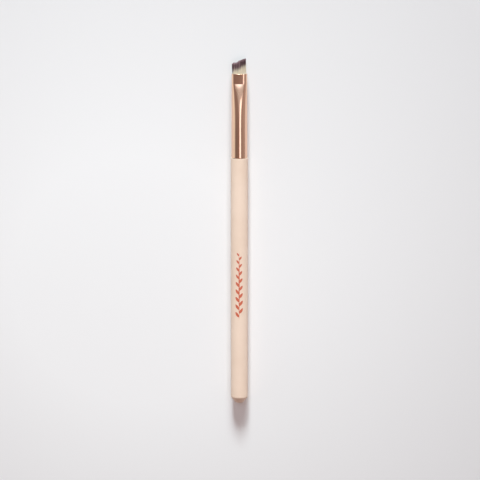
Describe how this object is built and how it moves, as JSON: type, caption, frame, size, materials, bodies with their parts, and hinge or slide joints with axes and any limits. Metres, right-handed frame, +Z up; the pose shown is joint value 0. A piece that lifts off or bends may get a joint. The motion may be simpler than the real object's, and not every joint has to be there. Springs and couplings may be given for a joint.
{
  "type": "eyeliner brush",
  "caption": "Slim angled eyeliner brush: round lacquered wooden handle, metal ferrule crimped flat and a short slanted tuft of two-tone filaments.",
  "frame": {"origin": "on the surface that the brush lies on, under the middle of its length", "axes": "+Y along the handle from the butt to the tuft; +Z up, square to the flat of the ferrule; +X towards the long side of the slanted tuft"},
  "size_m": [0.008, 0.165, 0.008],
  "materials": {
    "handle_lacquer": "satin cream lacquer on turned wood",
    "ferrule_plating": "polished rose gold plating",
    "filament": "fine synthetic filaments, cream with dark plum tips",
    "resin": "cured dark amber epoxy resin"
  },
  "bodies": {
    "root": {"handle": "handle_lacquer", "tenon_glue": "resin", "ferrule": "ferrule_plating", "resin_plug": "resin", "bristles": "filament"}
  },
  "joints": []
}
